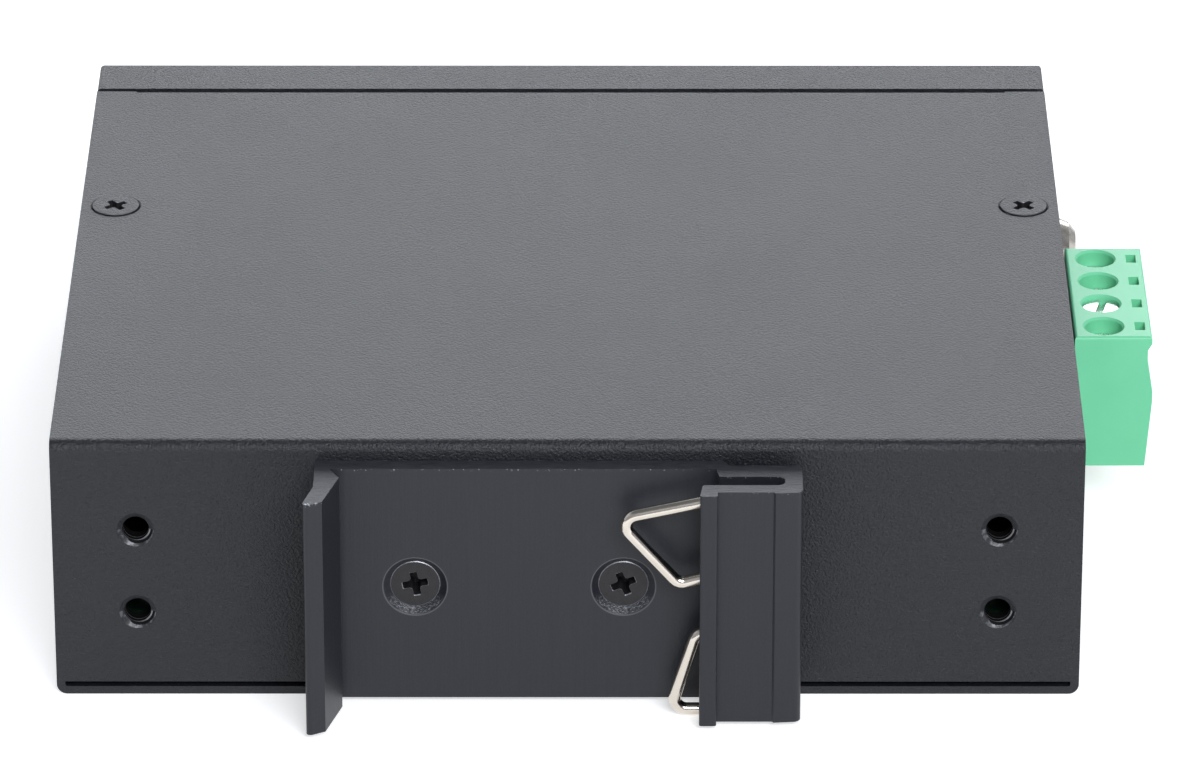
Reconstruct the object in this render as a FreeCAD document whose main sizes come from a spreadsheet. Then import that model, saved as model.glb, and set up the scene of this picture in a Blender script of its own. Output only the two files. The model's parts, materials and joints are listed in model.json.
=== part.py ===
import FreeCAD, Part
import math
import os
import re
import Sketcher

# A PoE splitter in a folded metal box for a 35 mm rail, lying on one large side.
# Millimetres. +X to the terminal end, -Y to the rail clip, +Z up from the lower side.
# The origin is the middle of the lower side.

SIZES = {
    # Box of two folded sheets
    "case_width": 96.0,
    "case_depth": 86.0,
    "case_height": 26.4,
    "plate": 0.8,
    "bend": 1.0,
    "back_gap": 0.5,
    "fold_gap": 0.15,
    "overcut": 1.0,
    "front_flange": 6.1,
    "front_round": 0.4,
    "corner_relief": 0.5,
    "seam": 0.7,
    "seam_relief": 0.25,
    "ear_width": 4.0,
    # Screws and tapped holes, all M3
    "thread_radius": 1.2,
    "tap_radius": 1.25,
    "clear_radius": 1.55,
    "collar_radius": 2.1,
    "collar_length": 1.0,
    "recess_length": 2.3,
    "recess_width": 0.62,
    "recess_depth": 0.7,
    "cover_screw_inset": 3.4,
    "cover_screw_back": 51.8,
    "cover_head_radius": 2.4,
    "cover_head_height": 0.7,
    "cover_head_rim": 0.12,
    "cover_screw_length": 4.5,
    "head_clearance": 0.1,
    "tab_reach": 8.0,
    "tab_length": 12.0,
    "bracket_inset": 7.8,
    "bracket_rise": 8.6,
    "bracket_drop": 0.2,
    "bracket_rim": 1.75,
    "bracket_mouth": 0.35,
    # Rail clip, sawn from an extrusion
    "rail_width": 35.0,
    "rail_centre": -4.05,
    "clip_base": 0.55,
    "clip_width": 24.0,
    "clip_plate": 1.7,
    "hook_notch": 0.5,
    "hook_beak": 0.48,
    "beak_stand": 3.5,
    "hook_root": 1.35,
    "hook_bend": 5.4,
    "hook_lean": 1.1,
    "hook_stand": 9.5,
    "hook_tip": 2.0,
    "hook_tip_slant": 1.1,
    "lip_overlap": 1.25,
    "lip_slant": 0.3,
    "step_clearance": 0.3,
    "channel_floor": 3.3,
    "channel_gap": 1.7,
    "channel_depth": 7.6,
    "lip_thickness": 1.47,
    "bead_width": 1.65,
    "bead_height": 0.88,
    "shoulder_width": 2.7,
    "shoulder_height": 0.2,
    "channel_back": 1.6,
    "channel_relief": 1.0,
    "relief_start": 0.95,
    "relief_slant": 0.6,
    "channel_round": 0.7,
    "hook_round": 0.4,
    "shoulder_round": 0.73,
    "bead_round": 0.26,
    "clip_screw_middle": -4.5,
    "clip_screw_span": 19.4,
    "clip_screw_drop": 0.3,
    "clip_sink_radius": 3.0,
    "clip_head_radius": 2.35,
    "clip_head_depth": 0.6,
    "clip_head_height": 0.9,
    "clip_head_rim": 0.06,
    "clip_screw_length": 3.6,
    # Wire spring in the channel
    "wire_radius": 0.58,
    "wire_bend": 1.15,
    "wire_inside": 4.3,
    "upper_end_drop": 1.35,
    "upper_tip_reach": 7.7,
    "upper_tip_drop": 3.95,
    "upper_foot_reach": 1.9,
    "upper_foot_drop": 10.65,
    "middle_drop": 9.05,
    "middle_rise": 8.8,
    "lower_foot_reach": 0.2,
    "lower_foot_rise": 8.1,
    "lower_tip_reach": 2.6,
    "lower_tip_rise": 0.15,
    # Board
    "standoff_height": 4.2,
    "standoff_radius": 2.75,
    "shank_radius": 2.1,
    "board": 1.6,
    "board_side_gap": 2.0,
    "board_back_gap": 3.5,
    "board_front_gap": 2.0,
    "shank_clearance": 0.05,
    "standoff_inset": 8.0,
    "standoff_back": 10.0,
    "standoff_front": 8.0,
    "pan_radius": 2.8,
    "pan_height": 2.4,
    "pan_crown_radius": 1.5,
    "pan_shoulder_radius": 2.35,
    "pan_shoulder_height": 1.7,
    "pan_side_height": 0.7,
    "board_screw_length": 4.5,
    # Network sockets
    "jack_width": 16.0,
    "jack_height": 13.5,
    "jack_depth": 21.3,
    "jack_proud": 0.4,
    "jack_inset": 21.0,
    "jack_spacing": 20.0,
    "jack_clearance": 0.25,
    "shield": 0.3,
    "shield_gap": 0.05,
    "port_width": 11.9,
    "port_floor": 4.2,
    "port_height": 6.8,
    "port_depth": 13.5,
    "latch_width": 6.2,
    "latch_drop": 1.5,
    "catch_width": 3.4,
    "catch_drop": 1.3,
    "contact_pitch": 1.02,
    "contact_width": 0.45,
    "contact_thickness": 0.3,
    "contact_front": 4.5,
    "contact_drop": 2.2,
    "contact_tip": 2.0,
    # Lamps
    "led_radius": 1.5,
    "led_clearance": 0.1,
    "led_offset": 22.0,
    "led_spacing": 6.0,
    "led_rise": 6.4,
    "led_length": 6.5,
    "led_dome": 0.5,
    "led_proud": 0.4,
    "led_holder_width": 4.4,
    "led_holder_depth": 4.0,
    "led_holder_back": 1.0,
    "led_holder_height": 8.6,
    # Pluggable terminal
    "pole_pitch": 5.08,
    "plug_inset": 40.6,
    "plug_floor": 6.2,
    "plug_height": 13.9,
    "plug_gap": 1.0,
    "plug_reach": 7.5,
    "plug_bulge": 0.15,
    "plug_notch": 0.4,
    "plug_rim": 0.7,
    "plug_round": 0.3,
    "plug_waist_high": 1.4,
    "plug_waist_low": 2.65,
    "plug_bulge_high": 5.85,
    "plug_bulge_low": 6.95,
    "nose_floor": 8.3,
    "nose_height": 5.4,
    "nose_tip": 0.8,
    "nose_gap": 0.4,
    "nose_clearance": 0.2,
    "header_depth": 12.0,
    "header_height": 8.6,
    "header_back": 2.6,
    "header_end": 1.0,
    "header_proud": 0.2,
    "window_clearance": 0.3,
    "pin_width": 1.0,
    "pin_clearance": 0.05,
    "pin_mouth_clearance": 0.3,
    "pin_reach": 7.0,
    "pin_tail": 1.6,
    "well_radius": 1.83,
    "well_inset": 2.9,
    "well_rim": 0.2,
    "probe_length": 1.8,
    "probe_width": 1.0,
    "probe_depth": 4.5,
    "probe_inset": 1.1,
    "wire_hole_radius": 1.6,
    "wire_mouth_radius": 2.0,
    "socket_width": 2.4,
    "socket_wall": 0.5,
    "socket_length": 6.0,
    "socket_clearance": 0.1,
    "tongue_width": 2.2,
    "tongue": 0.8,
    "cage_depth": 3.7,
    "cage_width": 3.9,
    "cage_base": 0.9,
    "cage_floor": 0.9,
    "cage_side": 0.7,
    "cage_window": 5.4,
    "cage_top": 1.5,
    "cage_travel": 1.8,
    "cage_clearance": 0.15,
    "clamp_head_radius": 1.72,
    "clamp_head_height": 1.2,
    "clamp_screw_length": 6.2,
    "clamp_tip_gap": 0.05,
    "clamp_clearance": 0.08,
    "clamp_slot_width": 0.75,
    "clamp_slot_depth": 0.55,
    "third_screw_raise": 1.15,
    # Ground screw on the terminal end
    "ground_inset": 15.2,
    "ground_washer": 0.6,
    "ground_washer_radius": 3.3,
    "tooth_depth": 0.66,
    "tooth_gap": 0.8,
    "ground_screw_length": 5.0,
    # Chips and packages on the board
    "lead_lift": 0.3,
    "lead_pitch": 1.27,
    "lead_width": 0.45,
    "lead_sheet": 0.25,
    "lead_foot": 1.2,
    "lead_knee": 0.4,
    "chip_edge": 0.2,
    "magnetics_length": 12.7,
    "magnetics_width": 9.5,
    "magnetics_height": 5.8,
    "magnetics_gap": 2.65,
    "bridge_length": 8.4,
    "bridge_width": 6.4,
    "bridge_height": 2.6,
    "bridge_inset": 11.0,
    "bridge_y": -2.0,
    "bridge_spacing": 11.0,
    "controller_length": 10.2,
    "controller_width": 3.9,
    "controller_height": 1.7,
    "controller_x": -9.0,
    "controller_y": -2.5,
    "power_width": 6.6,
    "power_depth": 6.1,
    "power_height": 2.3,
    "power_tab": 1.1,
    "power_tab_width": 5.3,
    "power_tab_sheet": 0.5,
    "power_lead": 0.8,
    "power_pitch": 2.28,
    "switch_inset": 28.0,
    "switch_back": 27.0,
    "rectifier_inset": 34.0,
    "rectifier_back": 30.0,
    # Capacitors, transformer and inductor
    "can_edge": 0.5,
    "can_gap": 1.0,
    "input_can_radius": 6.25,
    "input_can_height": 15.5,
    "input_can_inset": 15.0,
    "input_can_back": 24.0,
    "output_can_radius": 5.0,
    "output_can_height": 14.0,
    "output_can_inset": 30.5,
    "output_can_back": 14.0,
    "core_length": 20.0,
    "core_width": 20.0,
    "core_thickness": 5.6,
    "core_leg": 2.8,
    "core_lift": 4.6,
    "core_x": -3.0,
    "core_back": 19.5,
    "winding_build": 2.4,
    "winding_round": 1.4,
    "bobbin_gap": 0.2,
    "bobbin_lift": 0.6,
    "bobbin_rail": 2.4,
    "bobbin_pin_pitch": 3.2,
    "bobbin_pin": 0.7,
    "choke_width": 12.0,
    "choke_height": 6.8,
    "choke_corner": 2.0,
    "choke_drum": 4.2,
    "choke_gap": 0.6,
    "choke_inset": 23.0,
    "choke_back": 29.0,
}

# Places that several pieces share, worked out from the sizes above.
PLACES = {
    "side": "case_width / 2",
    "back": "-case_depth / 2",
    "front": "case_depth / 2",
    "inner_bend": "bend - plate",
    "cover_low": "plate + back_gap",
    "wall_top": "case_height - plate",
    "wall_front": "front - plate - fold_gap",
    "cover_front": "front - front_flange - seam",
    "tab_y": "back + cover_screw_back",
    "bracket_height": "case_height / 2 - bracket_drop",
    "standoff_left": "-side + standoff_inset",
    "standoff_right": "side - standoff_inset",
    "standoff_near": "back + standoff_back",
    "standoff_far": "front - standoff_front",
    "board_bottom": "plate + standoff_height",
    "board_top": "board_bottom + board",
    "clip_middle": "clip_base + clip_width / 2",
    "clip_screw_height": "clip_middle - clip_screw_drop",
    "clip_top": "clip_base + clip_width",
    "rail_right": "rail_centre + rail_width / 2",
    "rail_left": "rail_centre - rail_width / 2",
    "lip_edge": "rail_right - lip_overlap",
    "channel_end": "lip_edge + lip_slant + channel_depth",
    "clip_right": "channel_end + channel_back",
    "lip_inner": "channel_floor + channel_gap",
    "lip_outer": "lip_inner + lip_thickness",
    "jack_front": "front + jack_proud",
    "jack_rear": "jack_front - jack_depth",
    "jack_out_middle": "-side + jack_inset",
    "jack_in_middle": "jack_out_middle + jack_spacing",
    "magnetics_y": "jack_rear - magnetics_gap - lead_foot - magnetics_width / 2",
    "port_ceiling": "board_top + port_floor + port_height",
    "led_middle": "jack_in_middle + led_offset",
    "led_height": "board_top + led_rise",
    "plug_length": "4 * pole_pitch",
    "plug_middle": "front - plug_inset",
    "plug_near": "plug_middle - plug_length / 2",
    "plug_far": "plug_middle + plug_length / 2",
    "near_pole": "plug_middle - 1.5 * pole_pitch",
    "plug_top": "plug_floor + plug_height",
    "tower_left": "side + plug_gap",
    "tower_right": "tower_left + plug_reach",
    "header_front": "side + header_proud",
    "header_rear": "header_front - header_depth",
    "cavity_rear": "header_rear + header_back",
    "nose_left": "cavity_rear + nose_gap",
    "nose_top": "nose_floor + nose_height",
    "pin_height": "nose_floor + nose_height / 2",
    "pin_rear": "header_rear - pin_width",
    "well_x": "tower_left + well_inset",
    "socket_left": "nose_left + nose_tip + socket_clearance",
    "tongue_bottom": "pin_height + socket_width / 2 - tongue",
    "tongue_top": "pin_height + socket_width / 2",
    "cage_low": "plug_floor + cage_base",
    "cage_high": "cage_low + cage_floor + cage_window + cage_top",
    "pocket_top": "cage_high + cage_travel + 2 * cage_clearance",
    "ground_middle": "front - ground_inset",
    "ground_height": "case_height / 2",
    "ground_seat": "side + ground_washer",
    "bridge_x": "-side + bridge_inset",
}


def bound(formula):
    """A formula on the names above, as an expression on the sheet."""

    def spell(match):
        word = match.group(0)
        if word in PLACES:
            return "(" + bound(PLACES[word]) + ")"
        return "sizes." + word if word in SIZES else word

    return re.sub(r"[a-z][a-z_0-9]*", spell, formula)


def value(formula):
    """The present value of a formula in millimetres."""
    return float(sizes.evalExpression(bound(formula)))


doc = FreeCAD.newDocument("poe_splitter")
sizes = doc.addObject("Spreadsheet::Sheet", "sizes")
for row, (alias, number) in enumerate(SIZES.items(), start=1):
    sizes.set(f"A{row}", alias)
    sizes.set(f"B{row}", str(number))
    sizes.setAlias(f"B{row}", alias)
doc.recompute()

nodes = []


def new_body(label):
    body = doc.addObject("PartDesign::Body", label)
    nodes.append(body)
    return body


def origin_feature(body, role):
    return next(part for part in body.Origin.OriginFeatures if part.Role == role)


def new_sketch(body, role, offset):
    sketch = body.newObject("Sketcher::SketchObject", body.Label + "_sketch")
    sketch.AttachmentSupport = [(origin_feature(body, role), "")]
    sketch.MapMode = "FlatFace"
    sketch.setExpression("AttachmentOffset.Base.z", bound(offset))
    return sketch


def tie(sketch, kind, place, formula):
    """Adds a constraint that follows a formula."""
    index = sketch.addConstraint(Sketcher.Constraint(kind, *place, value(formula)))
    sketch.setExpression(f"Constraints[{index}]", bound(formula))


def outline(body, role, corners, offset="0"):
    """A closed outline of straight runs, each corner tied to its two formulas."""
    sketch = new_sketch(body, role, offset)
    spots = [FreeCAD.Vector(value(x), value(y), 0) for x, y in corners]
    count = len(spots)
    for index, spot in enumerate(spots):
        sketch.addGeometry(Part.LineSegment(spot, spots[(index + 1) % count]), False)
    for index in range(count):
        sketch.addConstraint(Sketcher.Constraint("Coincident", index, 2, (index + 1) % count, 1))
    for index, (x, y) in enumerate(corners):
        tie(sketch, "DistanceX", (-1, 1, index, 1), x)
        tie(sketch, "DistanceY", (-1, 1, index, 1), y)
    return sketch


def rings(body, role, centres, radius, offset="0"):
    """Circles of one radius, each centre tied to its two formulas."""
    sketch = new_sketch(body, role, offset)
    for index, (x, y) in enumerate(centres):
        centre = FreeCAD.Vector(value(x), value(y), 0)
        sketch.addGeometry(Part.Circle(centre, FreeCAD.Vector(0, 0, 1), value(radius)), False)
        tie(sketch, "Radius", (index,), radius)
        tie(sketch, "DistanceX", (-1, 1, index, 3), x)
        tie(sketch, "DistanceY", (-1, 1, index, 3), y)
    return sketch


def rectangle(left, right, low, high):
    return [(left, low), (right, low), (right, high), (left, high)]


def pad(body, sketch, length, midplane=False, flip=False):
    feature = body.newObject("PartDesign::Pad", body.Label + "_pad")
    feature.Profile = sketch
    feature.setExpression("Length", bound(length))
    feature.Midplane = midplane
    feature.Reversed = flip
    doc.recompute()
    return feature


def pocket(body, sketch, length, midplane=False, flip=False):
    """Cuts a sketch into a body, against the sketch's normal unless flipped."""
    before = body.Shape.Volume
    feature = body.newObject("PartDesign::Pocket", body.Label + "_pocket")
    feature.Profile = sketch
    feature.setExpression("Length", bound(length))
    feature.Midplane = midplane
    feature.Reversed = flip
    doc.recompute()
    if body.Shape.Volume > before - 1e-6:
        raise RuntimeError(body.Label + ": a pocket cuts nothing")
    return feature


def turn(body, corners):
    """A turned piece about its own Z axis, from a half outline of radius and height."""
    feature = body.newObject("PartDesign::Revolution", body.Label + "_turned")
    feature.Profile = outline(body, "XZ_Plane", corners)
    feature.ReferenceAxis = (origin_feature(body, "Z_Axis"), [""])
    feature.Angle = 360
    doc.recompute()
    return feature


def repeat(body, features, role, length, count, across=None):
    """Copies features along an axis of the body, and across along a second one."""
    feature = body.newObject("PartDesign::LinearPattern", body.Label + "_row")
    feature.Originals = features
    feature.Direction = (origin_feature(body, role), [""])
    feature.setExpression("Length", bound(length))
    feature.Occurrences = count
    if across:
        role, length, count = across
        feature.Direction2 = (origin_feature(body, role), [""])
        feature.setExpression("Length2", bound(length))
        feature.Occurrences2 = count
    body.Tip = feature
    doc.recompute()
    return feature


def block(body, kind, low, high):
    """A box feature, Additive or Subtractive, between two corners."""
    feature = body.newObject(f"PartDesign::{kind}Box", body.Label + "_block")
    for name, start, end in zip(("Length", "Width", "Height"), low, high):
        feature.setExpression(name, bound(f"({end}) - ({start})"))
    for name, start in zip("xyz", low):
        feature.setExpression("Placement.Base." + name, bound(start))
    doc.recompute()
    return feature


def round_feature(body, kind, foot, axis, radius, length, end_radius=None):
    """A cylinder or cone feature that stands on a point and runs along an axis."""
    shape = "Cylinder" if end_radius is None else "Cone"
    feature = body.newObject(f"PartDesign::{kind}{shape}", body.Label + "_round")
    feature.Placement.Rotation = FreeCAD.Rotation(FreeCAD.Vector(0, 0, 1), FreeCAD.Vector(*axis))
    for name, start in zip("xyz", foot):
        feature.setExpression("Placement.Base." + name, bound(start))
    if end_radius is None:
        feature.setExpression("Radius", bound(radius))
    else:
        feature.setExpression("Radius1", bound(radius))
        feature.setExpression("Radius2", bound(end_radius))
    feature.setExpression("Height", bound(length))
    doc.recompute()
    return feature


def round_edges(body, radius, *places):
    """Rounds the edges whose ends all lie on given coordinates."""
    base = body.Tip
    wanted = [{axis: value(text) for axis, text in place.items()} for place in places]
    names = []
    for index, edge in enumerate(base.Shape.Edges, start=1):
        for spot in wanted:
            ends = [vertex.Point for vertex in edge.Vertexes]
            if all(abs(getattr(end, axis) - at) < 1e-4 for end in ends for axis, at in spot.items()):
                names.append(f"Edge{index}")
                break
    feature = body.newObject("PartDesign::Fillet", body.Label + "_rounding")
    feature.Base = (base, names)
    feature.setExpression("Radius", bound(radius))
    doc.recompute()
    return feature


def stand(body, x, y, z, axis=(0, 0, 1), twist=0):
    """Puts a body's own origin at a point, its own Z along an axis, twisted about it by degrees."""
    upright = FreeCAD.Vector(0, 0, 1)
    tilt = FreeCAD.Rotation(upright, FreeCAD.Vector(*axis))
    body.Placement.Rotation = tilt * FreeCAD.Rotation(upright, twist)
    for name, formula in zip("xyz", (x, y, z)):
        body.setExpression("Placement.Base." + name, bound(formula))


# Chassis: lower side, two end walls and the front wall with its flange, folded from one sheet
chassis = new_body("chassis")
tray_profile = [
    ("-side", "0"),
    ("side", "0"),
    ("side", "wall_top"),
    ("side - plate", "wall_top"),
    ("side - plate", "plate"),
    ("-side + plate", "plate"),
    ("-side + plate", "wall_top"),
    ("-side", "wall_top"),
]
tray = outline(chassis, "XZ_Plane", tray_profile, "-(back)")
pad(chassis, tray, "wall_front - back", flip=True)
round_edges(chassis, "bend", {"x": "-side", "z": "0"}, {"x": "side", "z": "0"})
round_edges(
    chassis,
    "inner_bend",
    {"x": "-side + plate", "z": "plate"},
    {"x": "side - plate", "z": "plate"},
)
for left, right in (
    ("-side - overcut", "-side + 2 * plate"),
    ("side - 2 * plate", "side + overcut"),
):
    block(
        chassis,
        "Subtractive",
        (left, "back - overcut", "cover_low"),
        (right, "back + plate + inner_bend + fold_gap", "case_height"),
    )
for left, right in (("-side + plate", "-side + tab_reach"), ("side - tab_reach", "side - plate")):
    block(
        chassis,
        "Additive",
        (left, "tab_y - tab_length / 2", "wall_top - plate"),
        (right, "tab_y + tab_length / 2", "wall_top"),
    )
front_profile = [
    ("wall_front", "0"),
    ("front", "0"),
    ("front", "case_height"),
    ("front - front_flange", "case_height"),
    ("front - front_flange", "wall_top"),
    ("front - plate", "wall_top"),
    ("front - plate", "plate"),
    ("wall_front", "plate"),
]
pad(chassis, outline(chassis, "YZ_Plane", front_profile), "case_width", midplane=True)
for left, right in (
    ("-side - overcut", "-side + bend + corner_relief"),
    ("side - bend - corner_relief", "side + overcut"),
):
    block(
        chassis,
        "Subtractive",
        (left, "front - bend - corner_relief", "-overcut"),
        (right, "front + overcut", "bend + corner_relief"),
    )
round_edges(chassis, "front_round", {"x": "-side", "y": "front"}, {"x": "side", "y": "front"})
round_edges(chassis, "front_round", {"y": "front", "z": "case_height"})
round_edges(chassis, "bend", {"y": "front", "z": "0"})
tab_holes = [("-side + cover_screw_inset", "tab_y"), ("side - cover_screw_inset", "tab_y")]
pocket(chassis, rings(chassis, "XY_Plane", tab_holes, "tap_radius", "wall_top"), "2 * plate")
standoff_spots = [
    (x, y) for x in ("standoff_left", "standoff_right") for y in ("standoff_near", "standoff_far")
]
shank_hole = "shank_radius + shank_clearance"
pocket(chassis, rings(chassis, "XY_Plane", standoff_spots, shank_hole, "plate"), "2 * plate")
for middle in ("jack_out_middle", "jack_in_middle"):
    jack_window = rectangle(
        f"{middle} - jack_width / 2 - jack_clearance",
        f"{middle} + jack_width / 2 + jack_clearance",
        "board_top - jack_clearance",
        "board_top + jack_height + jack_clearance",
    )
    pocket(chassis, outline(chassis, "XZ_Plane", jack_window, "-(front)"), "4 * plate", midplane=True)
led_starts = ["led_middle - led_spacing / 2", "led_middle + led_spacing / 2"]
led_spots = [(x, "led_height") for x in led_starts]
led_sketch = rings(chassis, "XZ_Plane", led_spots, "led_radius + led_clearance", "-(front)")
pocket(chassis, led_sketch, "4 * plate", midplane=True)
terminal_window = rectangle(
    "plug_middle - plug_length / 2 - nose_clearance - header_end - window_clearance",
    "plug_middle + plug_length / 2 + nose_clearance + header_end + window_clearance",
    "board_top - window_clearance",
    "board_top + header_height + window_clearance",
)
pocket(chassis, outline(chassis, "YZ_Plane", terminal_window, "side"), "4 * plate", midplane=True)
round_feature(
    chassis,
    "Additive",
    ("side - plate", "ground_middle", "ground_height"),
    (-1, 0, 0),
    "collar_radius",
    "collar_length",
)
round_feature(
    chassis,
    "Subtractive",
    ("side + overcut", "ground_middle", "ground_height"),
    (-1, 0, 0),
    "tap_radius",
    "plate + collar_length + 2 * overcut",
)

# Cover: upper side and back wall, folded from one sheet, with extruded tapped holes
cover = new_body("cover")
cover_profile = [
    ("back", "cover_low"),
    ("back", "case_height"),
    ("cover_front", "case_height"),
    ("cover_front", "wall_top"),
    ("back + plate", "wall_top"),
    ("back + plate", "cover_low"),
]
pad(cover, outline(cover, "YZ_Plane", cover_profile), "case_width", midplane=True)
round_edges(cover, "bend", {"y": "back", "z": "case_height"})
round_edges(cover, "inner_bend", {"y": "back + plate", "z": "wall_top"})
seam_strip = rectangle(
    "-side + ear_width",
    "side - ear_width",
    "cover_front - seam_relief",
    "cover_front + overcut",
)
pocket(cover, outline(cover, "XY_Plane", seam_strip, "case_height"), "2 * plate")
for x in ("-side + cover_screw_inset", "side - cover_screw_inset"):
    round_feature(
        cover,
        "Subtractive",
        (x, "tab_y", "wall_top"),
        (0, 0, 1),
        "clear_radius",
        "plate",
        "cover_head_radius + head_clearance",
    )
bracket_spots = [
    (x, z)
    for x in ("-side + bracket_inset", "side - bracket_inset")
    for z in ("bracket_height - bracket_rise / 2", "bracket_height + bracket_rise / 2")
]
clip_spots = [
    ("clip_screw_middle - clip_screw_span / 2", "clip_screw_height"),
    ("clip_screw_middle + clip_screw_span / 2", "clip_screw_height"),
]
collar_sketch = rings(cover, "XZ_Plane", bracket_spots + clip_spots, "collar_radius", "-(back + plate)")
pad(cover, collar_sketch, "collar_length", flip=True)
tap_sketch = rings(cover, "XZ_Plane", bracket_spots + clip_spots, "tap_radius", "-(back)")
pocket(cover, tap_sketch, "2 * (plate + collar_length + overcut)", midplane=True)
for x, z in bracket_spots:
    round_feature(
        cover,
        "Subtractive",
        (x, "back", z),
        (0, 1, 0),
        "bracket_rim",
        "bracket_mouth",
        "tap_radius",
    )


def cross_recess(body, top):
    """A cross-shaped driver recess sunk into a head whose top is at a height."""
    arm = "recess_length / 2"
    half = "recess_width / 2"
    cross = [
        (half, half), (half, arm), (f"-{half}", arm), (f"-{half}", half),
        (f"-{arm}", half), (f"-{arm}", f"-{half}"), (f"-{half}", f"-{half}"), (f"-{half}", f"-{arm}"),
        (half, f"-{arm}"), (half, f"-{half}"), (arm, f"-{half}"), (arm, half),
    ]
    return pocket(body, outline(body, "XY_Plane", cross, top), "recess_depth")


def sunk_screw(label, head_radius, head_rim, head_height, length):
    """A countersunk screw, head top at its own origin and shank downwards."""
    body = new_body(label)
    turned = turn(body, [
        ("0", "0"),
        (head_radius, "0"),
        (head_radius, f"-{head_rim}"),
        ("thread_radius", f"-({head_rim} + {head_height})"),
        ("thread_radius", f"-({length})"),
        ("0", f"-({length})"),
    ])
    return body, [turned, cross_recess(body, "0")]


def pan_screw(label, length):
    """A pan-head screw, head seat at its own origin and shank downwards."""
    body = new_body(label)
    turned = turn(body, [
        ("0", "pan_height"),
        ("pan_crown_radius", "pan_height"),
        ("pan_shoulder_radius", "pan_shoulder_height"),
        ("pan_radius", "pan_side_height"),
        ("pan_radius", "0"),
        ("thread_radius", "0"),
        ("thread_radius", f"-({length})"),
        ("0", f"-({length})"),
    ])
    return body, turned


# Cover screws
cover_screws, features = sunk_screw(
    "cover_screws", "cover_head_radius", "cover_head_rim", "cover_head_height", "cover_screw_length"
)
repeat(cover_screws, features, "X_Axis", "case_width - 2 * cover_screw_inset", 2)
stand(cover_screws, "-side + cover_screw_inset", "tab_y", "case_height + cover_head_rim")

# Rail clip: hook with an undercut, flat plate and a channel with a beaded lip
din_clip = new_body("din_clip")
hook_left = "rail_left - hook_notch - hook_root"
clip_profile = [
    (hook_left, "0"),
    (hook_left, "hook_bend"),
    (f"{hook_left} - hook_lean", "hook_stand"),
    (f"{hook_left} - hook_lean + hook_tip", "hook_stand - hook_tip_slant"),
    ("rail_left + hook_beak", "beak_stand"),
    ("rail_left - hook_notch", "clip_plate"),
    ("rail_right + step_clearance", "clip_plate"),
    ("rail_right + 2 * step_clearance", "channel_floor"),
    ("channel_end", "channel_floor"),
    ("channel_end", "lip_inner"),
    ("lip_edge + lip_slant", "lip_inner"),
    ("lip_edge", "lip_outer + bead_height"),
    ("lip_edge + bead_width", "lip_outer + bead_height"),
    ("lip_edge + bead_width", "lip_outer"),
    ("clip_right - shoulder_width", "lip_outer"),
    ("clip_right - shoulder_width + shoulder_height", "lip_outer + shoulder_height"),
    ("clip_right", "lip_outer"),
    ("clip_right", "channel_relief"),
    ("rail_right + relief_start + relief_slant", "channel_relief"),
    ("rail_right + relief_start", "0"),
]
clip_corners = [(x, f"back - ({stand_off})") for x, stand_off in clip_profile]
pad(din_clip, outline(din_clip, "XY_Plane", clip_corners, "clip_base"), "clip_width")


def clip_edge(index):
    x, y = clip_corners[index]
    return {"x": x, "y": y}


round_edges(din_clip, "channel_round", clip_edge(8), clip_edge(9))
round_edges(din_clip, "hook_round", clip_edge(2))
round_edges(din_clip, "shoulder_round", clip_edge(16), clip_edge(17))
round_edges(din_clip, "bead_round", clip_edge(10), clip_edge(11), clip_edge(12))
for x, z in clip_spots:
    round_feature(
        din_clip,
        "Subtractive",
        (x, "back - clip_plate", z),
        (0, 1, 0),
        "clip_sink_radius",
        "clip_plate",
        "clip_sink_radius - clip_plate + head_clearance",
    )

# Wire spring: one bent wire with two loops, lying loose in the clip's channel
wire_corners = [
    ("lip_edge + wire_inside", "clip_top - upper_end_drop"),
    ("lip_edge - upper_tip_reach", "clip_top - upper_tip_drop"),
    ("lip_edge - upper_foot_reach", "clip_top - upper_foot_drop"),
    ("lip_edge + wire_inside", "clip_top - middle_drop"),
    ("lip_edge + wire_inside", "clip_base + middle_rise"),
    ("lip_edge - lower_foot_reach", "clip_base + lower_foot_rise"),
    ("lip_edge - lower_tip_reach", "clip_base + lower_tip_rise"),
    ("lip_edge + wire_inside", "clip_base + lower_tip_rise"),
]
wire_y = value("back - channel_floor - channel_gap / 2")
wire_points = [FreeCAD.Vector(value(x), wire_y, value(z)) for x, z in wire_corners]


def bent_path(points, radius):
    """Straight runs joined by tangent arcs of one radius."""
    edges = []
    start = points[0]
    for before, corner, after in zip(points, points[1:], points[2:]):
        inward = (before - corner).normalize()
        onward = (after - corner).normalize()
        half = inward.getAngle(onward) / 2
        first = corner + inward * (radius / math.tan(half))
        last = corner + onward * (radius / math.tan(half))
        bisector = (inward + onward).normalize()
        crown = corner + bisector * (radius / math.sin(half) - radius)
        edges.append(Part.LineSegment(start, first).toShape())
        edges.append(Part.Arc(first, crown, last).toShape())
        start = last
    edges.append(Part.LineSegment(start, points[-1]).toShape())
    return Part.Wire(edges)


wire_path = bent_path(wire_points, value("wire_bend"))
wire_circle = Part.Circle(wire_points[0], wire_points[1] - wire_points[0], value("wire_radius"))
wire_section = Part.Face(Part.Wire([wire_circle.toShape()]))
din_clip_spring = doc.addObject("Part::Feature", "din_clip_spring")
din_clip_spring.Shape = wire_path.makePipe(wire_section)
nodes.append(din_clip_spring)

# Clip screws, sunk below the plate's face
din_clip_screws, features = sunk_screw(
    "din_clip_screws", "clip_head_radius", "clip_head_rim", "clip_head_height", "clip_screw_length"
)
repeat(din_clip_screws, features, "X_Axis", "clip_screw_span", 2)
stand(
    din_clip_screws,
    "clip_screw_middle - clip_screw_span / 2",
    "back - clip_plate + clip_head_depth",
    "clip_screw_height",
    (0, -1, 0),
)

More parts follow.
